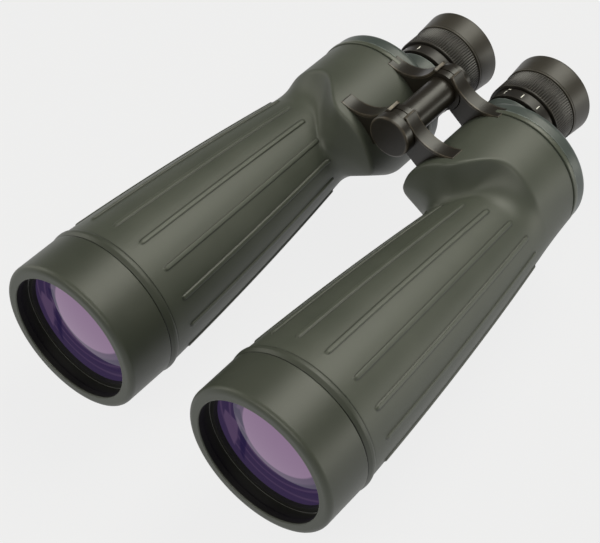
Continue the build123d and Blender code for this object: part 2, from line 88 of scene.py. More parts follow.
class Finish:
    # one material: a Principled shader and the nodes that feed it
    def __init__(self, name, **fixed):
        self.material = bpy.data.materials.new(name)
        self.material.use_nodes = True
        self.tree = self.material.node_tree
        self.shader = self.tree.nodes["Principled BSDF"]
        for socket, value in fixed.items():
            self.shader.inputs[socket.replace("_", " ")].default_value = value

    def add(self, kind, settings, sockets):
        node = self.tree.nodes.new(kind)
        for key, value in settings.items():
            setattr(node, key, value)
        for key, value in sockets.items():
            self.feed(node.inputs[key], value)
        return node

    def feed(self, socket, value):
        if isinstance(value, Wire):
            value = value.socket
        if isinstance(value, bpy.types.NodeSocket):
            self.tree.links.new(value, socket)
        else:
            socket.default_value = value

    def give(self, socket, value):
        self.feed(self.shader.inputs[socket], value)

    def place(self, stretch=(1.0, 1.0, 1.0)):
        where = self.add("ShaderNodeTexCoord", {}, {}).outputs["Object"]
        return self.add("ShaderNodeMapping", {}, {"Vector": where, "Scale": stretch}).outputs[0]

    def noise(self, scale, detail=3.0, rough=0.5, stretch=(1.0, 1.0, 1.0)):
        sockets = {"Vector": self.place(stretch), "Scale": scale, "Detail": detail, "Roughness": rough}
        return Wire(self, self.add("ShaderNodeTexNoise", {}, sockets).outputs["Fac"])

    def attribute(self, name):
        return Wire(self, self.add("ShaderNodeAttribute", {"attribute_name": name}, {}).outputs["Fac"])

    def blend(self, amount, first, second):
        sockets = {0: amount, 6: first, 7: second}
        return self.add("ShaderNodeMix", {"data_type": "RGBA"}, sockets).outputs[2]

    def bump(self, height, depth, strength=1.0):
        sockets = {"Height": height, "Distance": depth, "Strength": strength}
        self.give("Normal", self.add("ShaderNodeBump", {}, sockets).outputs[0])


def tone(red, green, blue):
    return (red, green, blue, 1.0)


def scaledTone(colour, gain):
    return tone(*[min(1.0, gain * part) for part in colour[:3]])


# Finishes; noise scales are in cycles a metre, bump depths in metres

rubberLook = {
    "specular": 0.42, "cloud": 38.0, "cloudDetail": 4.0, "cloudGain": 1.5, "cloudShift": 0.25, "grain": 1900.0,
    "grainDetail": 2.0, "rubBase": 0.35, "rub": 0.4, "rubLight": 2.0, "creaseShade": 0.6, "grainRough": 0.14,
    "cloudRough": 0.08, "grainDepth": 0.00005, "grainStrength": 0.45,
}
paintLook = {
    "specular": 0.45, "cloud": 60.0, "cloudDetail": 4.0, "peel": 1100.0, "peelDetail": 2.0, "scratch": 160.0,
    "scratchDetail": 4.0, "scratchRough": 0.6, "wearBase": 0.25, "wearRange": (0.35, 0.7), "wearMetal": 0.5,
    "cloudShine": 0.12, "scratchShine": 0.08, "peelDepth": 0.00003, "peelStrength": 0.35,
}
metalLook = {"lines": 900.0, "detail": 4.0, "noiseRough": 0.6, "dark": 0.75, "shine": 0.2, "depth": 0.00004,
             "strength": 0.35}
glassLook = {"film": tone(0.004, 0.003, 0.008), "filmRough": 0.04, "filmIndex": 1.5, "filmSpecular": 0.3,
             "clearRough": 0.02, "clearIndex": 1.52, "smear": 30.0, "smearDetail": 2.0,
             "smearTones": (tone(0.86, 0.92, 0.9), tone(0.93, 0.96, 0.95))}
half = 0.5  # the middle of a noise's range


def rubberFinish(name, dark, light, black, rough, look=rubberLook):
    # moulded rubber: cloudy tone, fine grain, rubbed edges lighter, painted light on the hood's front lip, painted
    # shade darkening the creases, and painted shade turning it black where a surface looks inwards
    made = Finish(name, Specular_IOR_Level=look["specular"])
    cloud = made.noise(look["cloud"], look["cloudDetail"])
    grain = made.noise(look["grain"], look["grainDetail"])
    colour = made.blend(cloud * look["cloudGain"] - look["cloudShift"], dark, light)
    rub = (made.attribute("edge") * (look["rubBase"] + cloud)).atMost(1.0) * look["rub"]
    # lighter where the edge attribute is high: wear on rubbed edges and rib crests, and painted light on the hood's
    # front lip
    colour = made.blend(rub, colour, scaledTone(light, look["rubLight"]))
    # painted shade: darker where the crease attribute marks rib feet, grooves and the armour's turned-in ends
    colour = made.blend(made.attribute("crease") * look["creaseShade"], colour, black)
    # painted shade: black where the inside attribute marks a surface looking inwards
    colour = made.blend(made.attribute("inside"), colour, black)
    made.give("Base Color", colour)
    made.give("Roughness", rough + (grain - half) * look["grainRough"] + (cloud - half) * look["cloudRough"])
    made.bump(grain, look["grainDepth"], look["grainStrength"])
    return made.material


def paintFinish(name, dark, light, metal, rough, wear, look=paintLook):
    # satin paint over metal: cloudiness, orange peel, lighter metal along rubbed edges
    made = Finish(name, Specular_IOR_Level=look["specular"])
    cloud = made.noise(look["cloud"], look["cloudDetail"])
    peel = made.noise(look["peel"], look["peelDetail"])
    scratch = made.noise(look["scratch"], look["scratchDetail"], look["scratchRough"])
    bare = look["wearBase"] + scratch.between(*look["wearRange"])
    worn = (made.attribute("edge") * bare * wear).atMost(1.0)
    made.give("Base Color", made.blend(worn, made.blend(cloud, dark, light), metal))
    made.give("Metallic", worn * look["wearMetal"])
    made.give("Roughness", rough + (cloud - half) * look["cloudShine"] + (scratch - half) * look["scratchShine"])
    made.bump(peel, look["peelDepth"], look["peelStrength"])
    return made.material


def metalFinish(name, colour, rough, stretch, look=metalLook):
    # bare metal with turned or cast texture
    made = Finish(name, Metallic=1.0)
    lines = made.noise(look["lines"], look["detail"], look["noiseRough"], stretch)
    made.give("Base Color", made.blend(lines, scaledTone(colour, look["dark"]), tone(*colour)))
    made.give("Roughness", rough + (lines - half) * look["shine"])
    made.bump(lines, look["depth"], look["strength"])
    return made.material


def coatedGlassWithPaintedReflection(name, dark, bright, look=glassLook):
    # coated lens: dark glass with a clear reflection, and a painted reflection: violet emission over the coating,
    # brighter where the glow attribute marks the glass as lit
    made = Finish(name, Base_Color=look["film"], Roughness=look["filmRough"], IOR=look["filmIndex"],
                  Emission_Strength=1.0, Specular_IOR_Level=look["filmSpecular"])
    made.give("Emission Color", made.blend(made.attribute("glow"), dark, bright))
    return made.material


def clearGlass(name, look=glassLook):
    made = Finish(name, Roughness=look["clearRough"], IOR=look["clearIndex"], Transmission_Weight=1.0)
    smear = made.noise(look["smear"], look["smearDetail"])
    made.give("Base Color", made.blend(smear, *look["smearTones"]))
    return made.material


castGrain, turnedGrain = (1.0, 1.0, 1.0), (1.0, 8.0, 1.0)
finishes = {
    "armour": rubberFinish("armourRubber", tone(0.036, 0.041, 0.031), tone(0.050, 0.055, 0.043),
                           tone(0.006, 0.006, 0.005), 0.49),
    "hood": rubberFinish("hoodRubber", tone(0.026, 0.030, 0.022), tone(0.036, 0.040, 0.030),
                         tone(0.004, 0.004, 0.003), 0.45),
    "eyecup": rubberFinish("eyecupRubber", tone(0.020, 0.018, 0.014), tone(0.030, 0.026, 0.020),
                           tone(0.005, 0.005, 0.005), 0.42),
    "cover": paintFinish("coverPaint", tone(0.034, 0.043, 0.040), tone(0.048, 0.059, 0.055),
                         tone(0.26, 0.30, 0.29), 0.38, 0.5),
    "rim": paintFinish("rimPaint", tone(0.044, 0.050, 0.037), tone(0.060, 0.066, 0.050),
                       tone(0.30, 0.32, 0.28), 0.34, 0.3),
    "hinge": paintFinish("hingePaint", tone(0.007, 0.006, 0.004), tone(0.013, 0.010, 0.007),
                         tone(0.22, 0.18, 0.13), 0.34, 0.6),
    "ring": paintFinish("ringPaint", tone(0.008, 0.007, 0.006), tone(0.014, 0.012, 0.010),
                        tone(0.16, 0.14, 0.11), 0.36, 0.15),
    "black": paintFinish("innerBlack", tone(0.006, 0.006, 0.006), tone(0.012, 0.012, 0.011),
                         tone(0.10, 0.09, 0.08), 0.55, 0.3),
    "tick": paintFinish("tickPaint", tone(0.62, 0.62, 0.58), tone(0.78, 0.77, 0.72),
                        tone(0.8, 0.8, 0.75), 0.5, 0.0),
    "alloy": metalFinish("castAlloy", (0.55, 0.55, 0.54), 0.5, castGrain),
    "steel": metalFinish("turnedSteel", (0.62, 0.61, 0.59), 0.32, turnedGrain),
    "brass": metalFinish("washerBrass", (0.72, 0.53, 0.25), 0.3, turnedGrain),
    # both lens finishes emit a painted violet reflection
    "crown": coatedGlassWithPaintedReflection("crownCoatingPaintedGlow", tone(0.010, 0.006, 0.036), tone(0.205, 0.125, 0.215)),
    "flint": coatedGlassWithPaintedReflection("flintCoatingPaintedGlow", tone(0.020, 0.012, 0.050), tone(0.10, 0.06, 0.20)),
    "glass": clearGlass("prismGlass"),
}
print("stage: finishes made,", len(finishes))


# Mesh helpers; all lengths in mm

weldGap = 1e-7  # metres
sharp, crisp, broken, eased = 0.1, 0.15, 0.2, 0.3  # roundings of corners that hardly show
arcLook = {"cornerShare": 0.45, "flatRun": 0.25, "flatShare": 0.12}


def gridMesh(name, points, finish, body, side=1.0, wrapU=True, wrapV=False, **layers):
    # grid of two parameters: quad (i, j) joins points i, i+1 along u and j, j+1 along v; side -1 mirrors in X
    nu, nv = points.shape[:2]
    u = np.arange(nu if wrapU else nu - 1)
    v = np.arange(nv if wrapV else nv - 1)
    i, j = [a.ravel() for a in np.meshgrid(u, v, indexing="ij")]
    k, l = (i + 1) % nu, (j + 1) % nv
    quads = np.stack([i * nv + j, k * nv + j, k * nv + l, i * nv + l], axis=1)
    place = (points * np.array([side, 1.0, 1.0]) * mm).reshape(-1, 3)
    a, b, c, d = [place[quads[:, n]] - place.mean(axis=0) for n in range(4)]
    if (a * (np.cross(b, c) + np.cross(c, d))).sum() < 0:  # a negative volume: the faces point inwards
        quads = quads[:, ::-1]
    mesh = bpy.data.meshes.new(name)
    mesh.vertices.add(nu * nv)
    mesh.vertices.foreach_set("co", place.astype(np.float32).ravel())
    mesh.loops.add(quads.size)
    mesh.loops.foreach_set("vertex_index", quads.astype(np.int32).ravel())
    mesh.polygons.add(len(quads))
    mesh.polygons.foreach_set("loop_start", np.arange(0, quads.size, 4, dtype=np.int32))
    mesh.polygons.foreach_set("use_smooth", np.ones(len(quads), dtype=bool))
    mesh.update(calc_edges=True)
    for label, values in layers.items():
        layer = mesh.attributes.new(label, "FLOAT", "POINT")
        layer.data.foreach_set("value", np.broadcast_to(values, (nu, nv)).astype(np.float32).ravel())
    mesh.validate()
    work = bmesh.new()
    work.from_mesh(mesh)
    bmesh.ops.remove_doubles(work, verts=work.verts, dist=weldGap)
    work.to_mesh(mesh)
    work.free()
    mesh.materials.append(finishes[finish])
    piece = bpy.data.objects.new(name, mesh)
    bpy.context.scene.collection.objects.link(piece)
    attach(piece, body)
    return piece


def softened(corners, steps=5, closed=True, look=arcLook):
    # outline with each corner (a, b, radius) turned into an arc; gives points and 1 on arcs, 0 on flats
    spots, flags = [], []
    count = len(corners)
    for n, (a, b, radius) in enumerate(corners):
        here = np.array([a, b])
        if not closed and n in (0, count - 1):
            spots.append(here[None])
            flags.append(np.zeros(1))
            continue
        before = np.array(corners[n - 1][:2]) - here
        after = np.array(corners[(n + 1) % count][:2]) - here
        reach = (np.linalg.norm(before), np.linalg.norm(after))
        before, after = before / reach[0], after / reach[1]
        opening = math.acos(np.clip(before @ after, -1.0, 1.0)) / 2
        cut = min(radius / math.tan(opening), look["cornerShare"] * min(reach))
        radius = cut * math.tan(opening)
        middle = here + (before + after) / np.linalg.norm(before + after) * radius / math.sin(opening)
        start, end = here + before * cut - middle, here + after * cut - middle
        t = np.linspace(0.0, 1.0, steps)[:, None]
        sweep = math.pi - 2 * opening
        arc = (np.sin((1 - t) * sweep) * start + np.sin(t * sweep) * end) / math.sin(sweep)
        rest = min(look["flatRun"], look["flatShare"] * min(reach))
        arc = np.vstack([start + before * rest, arc, end + after * rest])
        spots.append(middle + arc)
        flags.append(np.concatenate([[0.0], np.ones(steps), [0.0]]))
    return np.vstack(spots), np.concatenate(flags)


def lathe(axis, outline, turns):
    # outline of (radius, station) turned round a line along Y through axis (x, z)
    angle = np.linspace(0.0, 2 * math.pi, turns, endpoint=False)[:, None]
    radius, station = outline[:, 0][None], outline[:, 1][None]
    x = axis[0] + radius * np.cos(angle)
    z = axis[1] + radius * np.sin(angle)
    return np.stack([x, np.broadcast_to(station, x.shape), z], axis=2)


def boxMm(node):
    low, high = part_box(node)
    return np.array(low) / mm, np.array(high) / mm


def axisOf(node):
    # x and z of the node's middle, on the left whichever side the node is on
    low, high = boxMm(node)
    return abs((low[0] + high[0]) / 2), (low[2] + high[2]) / 2


def radiusOf(node):
    low, high = boxMm(node)
    return (high[2] - low[2]) / 2


def smooth(t):
    t = np.clip(t, 0.0, 1.0)
    return t * t * (3 - 2 * t)


def softMin(a, b, width):
    # the smaller of two values, rounded off where they are nearly equal
    h = np.maximum(width - np.abs(a - b), 0.0) / width
    return np.minimum(a, b) - h * h * width / 4


def softMax(a, b, width):
    return -softMin(-a, -b, width)


# Armour: a tapered tube that grows into a round prism housing

armourLook = {
    "bulge": 2.4, "rearRadius": 23.4, "frontRadius": 43.3, "housingRadius": 38.8, "shoulder": 206.8,
    "lugFront": 185.0, "rampStart": 37.6, "rampSlope": 1.07, "valley": 197.0, "faceRun": 8.0, "underTurn": 239.2,
    "underSlope": 30.6, "underEdge": -105.49, "edgeSoft": 4.0, "junctionSoft": 4.0, "cornerSoft": 7.0,
    "creaseSoft": 0.14, "valleySoft": 0.7, "lipRound": 0.5, "lipSteps": 4, "thickness": 2.0, "rows": 230,
    "faceRows": 28, "backRows": 34, "innerRows": 24, "innerSkip": 2, "slices": 520, "leanStart": 110.0,
    "leanRun": 80.0, "leanRoom": 8.0, "nearest": 4.0, "farthest": 62.0, "halvings": 26, "pulls": 5, "probe": 0.02,
}
ribLook = {
    "count": 15, "first": 10.5, "halfWidth": 1.15, "height": 0.8, "front": 46.5, "rearMiddle": 185.5,
    "rearSwing": 10.6, "rearTurn": 30.0, "farSteps": 8, "flankEnd": 1.22, "flankRun": 0.38, "shadeEnd": 1.75,
    "shadeFade": 0.5, "shadeStart": 0.95, "shadeRise": 0.2, "rubFrom": 0.6, "rub": 0.3,
    "near": (-2.3, -1.65, -1.32, -1.08, -0.82, -0.4, 0.0, 0.4, 0.82, 1.08, 1.32, 1.65, 2.3),
}


class ArmourForm:
    # the rubber's outside without its ribs, as a field that is 0 on it and negative inside: a tube whose section
    # changes into the housing's between a valley and a crease; stations count from the hood's front
    def __init__(self, side, look):
        self.look = look
        self.origin = boxMm(side + "_hood")[0][1]
        low, high = boxMm(side + "_armour")
        self.front, self.rear = low[1], high[1]
        self.tubeX, self.tubeZ = axisOf(side + "_hood")
        self.houseX, self.houseZ = axisOf(side + "_rear_cover")

    def tubeRadius(self, y):
        look = self.look
        t = (y - self.front) / (self.rear - self.front)
        run = look["frontRadius"] + (look["rearRadius"] - look["frontRadius"]) * t
        return run + 4 * look["bulge"] * t * (1 - t)

    def creaseAt(self, x):
        look = self.look
        ramp = look["lugFront"] + (x - look["rampStart"]) * look["rampSlope"]
        ramp = softMax(ramp, look["lugFront"], look["cornerSoft"])
        return softMin(ramp, look["shoulder"], look["cornerSoft"])

    def field(self, p):
        look = self.look
        x, y, z = p[..., 0], p[..., 1], p[..., 2]
        turn, tilt = math.radians(look["underTurn"]), math.radians(look["underSlope"])
        tube = np.hypot(x - self.tubeX, z - self.tubeZ) - self.tubeRadius(y)
        wall = np.hypot(x - self.houseX, z - self.houseZ) - look["housingRadius"]
        lift = (x * math.cos(turn) + (z - self.tubeZ) * math.sin(turn)) * math.cos(tilt)
        under = lift - (y - self.origin) * math.sin(tilt) - look["underEdge"]
        house = softMin(tube, softMax(wall, under, look["edgeSoft"]), look["junctionSoft"])
        crease = self.creaseAt(x)
        valley = softMin(crease - look["faceRun"], look["valley"], look["cornerSoft"])
        share = (y - self.origin - valley) / (crease - valley)
        share = softMax(softMin(share, 1.0, look["creaseSoft"]), 0.0, look["valleySoft"])
        return tube + (house - tube) * share

    def slope(self, p):
        # gradient of the field by central differences
        step = self.look["probe"]
        moves = np.eye(3) * step
        return np.stack([(self.field(p + m) - self.field(p - m)) / (2 * step) for m in moves], axis=-1)


def armourRays(form, ribs):
    # stations of the slices, and the rays' angles on each: close together on a rib, wider between the ribs
    look = form.look
    slices = np.linspace(form.front + look["lipRound"], form.rear - look["lipRound"], look["slices"])
    pitch = 360.0 / ribs["count"]
    near = np.array(ribs["near"])[:, None] / form.tubeRadius(slices)[None]
    share = np.arange(1, ribs["farSteps"] + 1)[:, None] / (ribs["farSteps"] + 1)
    far = near[-1:] + share * (math.radians(pitch) - 2 * near[-1:])
    starts = np.radians(ribs["first"] + pitch * np.arange(ribs["count"]))
    return slices, (starts[:, None, None] + np.vstack([near, far])[None]).reshape(-1, len(slices))


def armourHits(form, slices, angle):
    # where each ray from the objective's axis meets the surface, on slices that bend with the crease
    look = form.look
    end = form.rear - look["lipRound"]
    back = form.origin + look["shoulder"] + look["leanRoom"]
    rise = smooth((slices - form.origin - look["leanStart"]) / look["leanRun"])
    lean = rise * (1 - smooth((slices - back) / (end - back)))

    def spot(radius):
        x = form.tubeX + radius * np.cos(angle)
        z = form.tubeZ + radius * np.sin(angle)
        y = slices[None] + (form.creaseAt(x) - look["shoulder"]) * lean[None]
        return np.stack([x, y, z], axis=-1)

    low = np.full(angle.shape, look["nearest"])
    high = np.full_like(low, look["farthest"])
    for _ in range(look["halvings"]):  # halve the bracket on every ray at once
        middle = (low + high) / 2
        inside = form.field(spot(middle)) < 0
        low, high = np.where(inside, middle, low), np.where(inside, high, middle)
    return spot((low + high) / 2)


def armourRows(form, slices, hits):
    # rows spread evenly along the surface before, on and behind the sloping face
    look = form.look
    run = np.cumsum(np.linalg.norm(np.diff(hits, axis=1), axis=2), axis=1)
    run = np.concatenate([np.zeros((len(hits), 1)), run], axis=1)
    rows, behind = look["rows"], look["rows"] - look["backRows"]
    marks = [0, behind - look["faceRows"], behind, rows - 1]
    stops = [form.front, form.origin + look["valley"], form.origin + look["shoulder"], form.rear - look["lipRound"]]
    knots = np.searchsorted(slices, stops)
    skin = np.empty((len(hits), rows, 3))
    for n in range(len(hits)):
        reach = np.interp(np.arange(rows), marks, run[n, knots])
        skin[n] = np.stack([np.interp(reach, run[n], hits[n, :, c]) for c in range(3)], axis=1)
    return skin


def pulledOn(form, skin):
    # points moved along the field's slope onto the surface, and the normals there; the ends stay in their planes
    hold = np.ones((1, skin.shape[1], 3))
    hold[:, [0, -1], 1] = 0.0
    for _ in range(form.look["pulls"]):
        slope = form.slope(skin)
        skin = skin - hold * slope * (form.field(skin) / (slope ** 2).sum(axis=-1))[..., None]
    normal = form.slope(skin)
    return skin, normal / np.linalg.norm(normal, axis=-1, keepdims=True)


def ribRelief(form, skin, ribs):
    # height of the ribs, round-ended bars along the tube, and 1 along their feet where painted shade goes
    pitch = 360.0 / ribs["count"]
    around = np.degrees(np.arctan2(skin[..., 2] - form.tubeZ, skin[..., 0] - form.tubeX))
    reach = np.hypot(skin[..., 2] - form.tubeZ, skin[..., 0] - form.tubeX)
    turn = ribs["first"] + np.round((around - ribs["first"]) / pitch) * pitch
    across = np.radians(around - turn) * reach
    station = skin[..., 1] - form.origin
    rear = ribs["rearMiddle"] + ribs["rearSwing"] * np.cos(np.radians(turn + ribs["rearTurn"]))
    along = np.maximum(np.maximum(ribs["front"] - station, station - rear), 0.0)
    away = np.hypot(across, along) / ribs["halfWidth"]
    lift = ribs["height"] * smooth((ribs["flankEnd"] - away) / ribs["flankRun"])
    foot = smooth((ribs["shadeEnd"] - away) / ribs["shadeFade"])
    return lift, foot * smooth((away - ribs["shadeStart"]) / ribs["shadeRise"])


def turnedIn(edge, out, way, look):
    # a quarter round from the skin to the end plane, then in across the rubber's thickness
    lip = look["lipRound"]
    bends = np.linspace(math.pi / 2, 0.0, look["lipSteps"])[1:]
    rounds = [edge - out * lip * (1 - np.sin(b)) + np.array([0.0, way * lip * np.cos(b), 0.0]) for b in bends]
    return rounds + [rounds[-1] - out * (look["thickness"] - lip)]


def armourShape(side, look, ribs):
    # rays find the form's surface, rows are spread along it, the ribs lift it and both ends turn in to a lining
    form = ArmourForm(side, look)
    slices, angle = armourRays(form, ribs)
    skin, normal = pulledOn(form, armourRows(form, slices, armourHits(form, slices, angle)))
    lift, foot = ribRelief(form, skin, ribs)
    outer = skin + normal * lift[..., None]
    flat = normal * np.array([1.0, 0.0, 1.0])
    flat = flat / np.linalg.norm(flat, axis=-1, keepdims=True)
    nose = turnedIn(outer[:, 0], flat[:, 0], -1.0, look)
    tail = turnedIn(outer[:, -1], flat[:, -1], 1.0, look)
    last = look["rows"] - 1 - look["innerSkip"]
    pick = np.round(np.linspace(look["innerSkip"], last, look["innerRows"])).astype(int)[::-1]
    lining = skin[:, pick] - normal[:, pick] * look["thickness"]
    points = np.concatenate([np.stack(nose[::-1], axis=1), outer, np.stack(tail, axis=1), lining], axis=1)
    skinRows = slice(len(nose), len(nose) + look["rows"])
    edge, crease = np.zeros((2,) + points.shape[:2])
    edge[:, skinRows] = smooth((lift / ribs["height"] - ribs["rubFrom"]) / (1 - ribs["rubFrom"])) * ribs["rub"]
    # painted shade along the rib feet, and over the turned-in ends and the lining
    crease[:, skinRows] = foot
    crease[:, :len(nose)] = 1.0
    crease[:, skinRows.stop:] = 1.0
    piece = gridMesh(side + "ArmourSkin", points, "armour", side + "_barrel", sides[side], wrapV=True,
                     edge=edge, crease=crease)
    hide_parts(side + "_armour")


for side in sides:
    armourShape(side, armourLook, ribLook)
print("stage: armour made")


# Hood, bead and objective of each barrel

hoodLook = {
    "lip": 6.8, "edgeRound": 3.2, "innerRound": 0.7, "lipDepth": 4.0, "recess": 1.5, "rearRound": 0.5, "wall": 3.0,
    "turns": 192, "arcSteps": 7, "blackReach": 2.0, "blackFade": 0.6, "blackFrom": 0.5, "blackRise": 0.5,
    "outside": 3.0, "edgeRub": 0.25, "lipReach": 0.8, "lipFade": 0.6, "lipLight": 0.5,
}
beadLook = {
    "round": 2.2, "depth": 3.7, "turns": 192, "arcSteps": 6, "frontGap": 0.1, "rearGap": 0.2, "rearDrop": 1.3,
    "crestRear": 1.4, "crestFront": 2.6, "crestDrop": 0.1, "rearEdge": 0.25, "rearEdgeAt": 0.3, "grooveDrop": 0.9,
    "grooveAt": 0.5, "grooveRound": 0.8, "footDrop": 1.6, "shadeFrom": 0.7, "shadeRise": 0.4,
}
crownLook = {"node": "_crown_lens", "body": "_barrel", "finish": "crown", "frontSag": 4.2, "rearSag": 3.0,
             "rim": 0.8, "turns": 256, "rings": 72, "backRings": 12}
eyeLook = {"node": "_eye_lens", "body": "_ocular", "finish": "flint", "frontSag": 1.6, "rearSag": 1.6,
           "rim": 0.8, "turns": 96, "rings": 20, "backRings": 12}
lensReflectionLook = {
    "middle": (0.18, 0.38), "base": 0.1, "disc": 0.67, "discGlow": 0.7, "discFade": 0.03, "hem": 0.80,
    "hemGlow": 0.2, "hemFade": 0.05, "arcs": (0.91, 1.11), "arcWidth": 0.022, "arcGlow": 0.15,
    "patch": ((-0.84, 0.22), (-0.53, 0.17), (-0.57, -0.22), (-0.68, -0.52), (-0.79, -0.27), (-0.88, 0.02)),
    "patchGlow": 0.32,
    "wedges": (((-0.66, 0.42), (-0.52, 0.46), (-0.36, 0.01), (-0.52, 0.18), (-0.63, 0.27)),
               ((-0.52, 0.18), (-0.36, 0.01), (-0.51, -0.76), (-0.58, -0.53))),
    "wedgeShade": 0.75, "outlineFade": 0.03,
}


def hoodShape(side, look):
    # a turned ring: round front edge, flat lip, stepped inside painted black as shade
    low, high = boxMm(side + "_hood")
    front, rear = low[1], high[1]
    radius = radiusOf(side + "_hood")
    opening = radius - look["lip"]
    seat = boxMm(side + "_objective_cell")[0][1]
    outline, arcs = softened([
        (opening, front, look["innerRound"]),
        (opening, front + look["lipDepth"], crisp),
        (opening + look["recess"], front + look["lipDepth"], crisp),
        (opening + look["recess"], seat, sharp),
        (radius - look["wall"], seat, sharp),
        (radius - look["wall"], rear, broken),
        (radius, rear, look["rearRound"]),
        (radius, front, look["edgeRound"]),
    ], look["arcSteps"])
    reach, station = outline[:, 0], outline[:, 1]
    # painted shade: the inside beyond the lip turns black
    black = smooth((opening + look["blackReach"] - reach) / look["blackFade"])
    black = black * smooth((station - front - look["blackFrom"]) / look["blackRise"])
    rub = arcs * (reach > opening + look["outside"]) * look["edgeRub"]
    # painted light: the flat front face of the lip is lightened
    lip = smooth((front + look["lipReach"] - station) / look["lipFade"]) * look["lipLight"]
    ring = lathe(axisOf(side + "_hood"), outline, look["turns"])
    piece = gridMesh(side + "HoodRing", ring, "hood", side + "_barrel", sides[side], wrapV=True,
                     edge=np.maximum(rub, lip)[None], inside=black[None])
    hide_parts(side + "_hood")


def beadShape(side, look):
    # a turned ring with a half-round outside and a groove before it
    node = side + "_bead_ring"
    front, rear = [corner[1] for corner in boxMm(node)]
    radius = radiusOf(node)
    outline, _ = softened([
        (radius - look["depth"], front + look["frontGap"], broken),
        (radius - look["depth"], rear - look["rearGap"], broken),
        (radius - look["rearDrop"], rear - look["rearGap"], sharp),
        (radius - look["rearEdge"], rear - look["rearEdgeAt"], eased),
        (radius, rear - look["crestRear"], look["round"]),
        (radius - look["crestDrop"], front + look["crestFront"], look["round"]),
        (radius - look["grooveDrop"], front + look["grooveAt"], look["grooveRound"]),
        (radius - look["footDrop"], front + look["frontGap"], broken),
    ], look["arcSteps"])
    # painted shade in the groove before the bead
    groove = smooth((radius - look["shadeFrom"] - outline[:, 0]) / look["shadeRise"])
    ring = lathe(axisOf(node), outline, look["turns"])
    piece = gridMesh(side + "BeadRing", ring, "hood", side + "_barrel", sides[side], wrapV=True, crease=groove[None])
    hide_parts(node)


def within(u, v, corners, fade):
    # 1 inside a convex outline listed clockwise, fading to 0 at its edges
    depth = np.full_like(u, 1.0)
    for n, (a, b) in enumerate(corners):
        run = np.array(corners[(n + 1) % len(corners)]) - np.array([a, b])
        run = run / np.linalg.norm(run)
        depth = np.minimum(depth, run[1] * (u - a) - run[0] * (v - b))
    return smooth(depth / fade)


def paintedLensReflection(u, v, look):
    # painted reflection: how brightly the lens's emission shows, over the lens plane in radii: an off-centre bright
    # disc with a dimmer hem, two thin arcs round it, a paler patch and dark wedges near the edge
    away = np.hypot(u - look["middle"][0], v - look["middle"][1])
    glow = look["base"] + look["hemGlow"] * smooth((look["hem"] - away) / look["hemFade"])
    glow = glow + look["discGlow"] * smooth((look["disc"] - away) / look["discFade"])
    for reach in look["arcs"]:
        glow = glow + look["arcGlow"] * np.exp(-((away - reach) / look["arcWidth"]) ** 2)
    glow = np.maximum(glow, look["patchGlow"] * within(u, v, look["patch"], look["outlineFade"]))
    for wedge in look["wedges"]:
        glow = glow * (1 - look["wedgeShade"] * within(u, v, wedge, look["outlineFade"]))
    return glow


def lensShape(side, look, film):
    # two spherical caps joined by a rim; each cap's depth grows with the square of the radius
    node = side + look["node"]
    front, rear = [corner[1] for corner in boxMm(node)]
    radius = radiusOf(node)
    clear = radius - look["rim"]
    frontRim, rearRim = front + look["frontSag"], rear - look["rearSag"]
    r = np.linspace(0.0, clear, look["rings"])
    back = np.linspace(clear, 0.0, look["backRings"])
    outline = np.vstack([
        np.stack([r, frontRim - look["frontSag"] * (1 - (r / clear) ** 2)], axis=1),
        [[radius, frontRim], [radius, rearRim]],
        np.stack([back, rearRim + look["rearSag"] * (1 - (back / clear) ** 2)], axis=1),
    ])
    axis = axisOf(node)
    lens = lathe(axis, outline, look["turns"])
    u, v = sides[side] * (lens[..., 0] - axis[0]) / clear, (lens[..., 2] - axis[1]) / clear
    name = side + look["node"].title().replace("_", "")
    # the glow attribute carries the painted reflection that the lens's finish emits
    piece = gridMesh(name, lens, look["finish"], side + look["body"], sides[side], glow=paintedLensReflection(u, v, film))
    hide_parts(node)


for side in sides:
    hoodShape(side, hoodLook)
    beadShape(side, beadLook)
    lensShape(side, crownLook, lensReflectionLook)
    lensShape(side, eyeLook, lensReflectionLook)
print("stage: hoods and glasses made")


# Rear cover with its rolled rim and eyepiece boss

coverLook = {
    "depth": 13.0, "middle": 1.0, "rim": 3.4, "rimProud": 0.5, "rimInset": 0.2, "rimRear": 0.9, "rimFront": 1.1,
    "groove": 0.35, "seam": 0.5, "seamGap": 0.15, "spigot": 0.7, "edgeRound": 4.0, "wall": 3.0, "wallRound": 0.5,
    "rubBand": 0.5, "rubRun": 1.0, "turns": 192, "arcSteps": 7,
}
bossLook = {"radius": 21.0, "bore": 17.4, "topRound": 0.7, "straight": 3.0, "flare": 2.2, "sink": 0.15,
            "edgeRoom": 0.1, "footSteps": 9}


def coverShape(side, look):
    # a turned lid, and a rolled rim on its spigot
    node = side + "_rear_cover"
    seam = boxMm(side + "_armour")[1][1]
    rear, back = seam + look["depth"], seam + look["rim"]
    axis, proud = axisOf(node), radiusOf(node)
    radius = proud - look["rimProud"]
    step = radius - look["spigot"]
    outline, arcs = softened([
        (look["middle"], rear - look["wall"], sharp),
        (radius - look["wall"], rear - look["wall"], look["wallRound"]),
        (radius - look["wall"], seam + look["seamGap"], sharp),
        (step, seam + look["seamGap"], sharp),
        (step, back + look["groove"], sharp),
        (radius, back + look["groove"], eased),
        (radius, rear, look["edgeRound"]),
        (look["middle"], rear, sharp),
    ], look["arcSteps"])
    edge = arcs * (outline[:, 0] > radius - look["rubBand"]) * (outline[:, 1] < back + look["rubRun"])
    lid = lathe(axis, outline, look["turns"])
    piece = gridMesh(side + "CoverLid", lid, "cover", side + "_barrel", sides[side], wrapV=True, edge=edge[None])
    outline, _ = softened([
        (step - look["rimInset"], seam + look["seam"], sharp),
        (step - look["rimInset"], back, sharp),
        (proud, back, look["rimRear"]),
        (proud, seam + look["seam"], look["rimFront"]),
    ], look["arcSteps"])
    ring = lathe(axis, outline, look["turns"])
    rim = gridMesh(side + "CoverRim", ring, "rim", side + "_barrel", sides[side], wrapV=True)
    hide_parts(node)


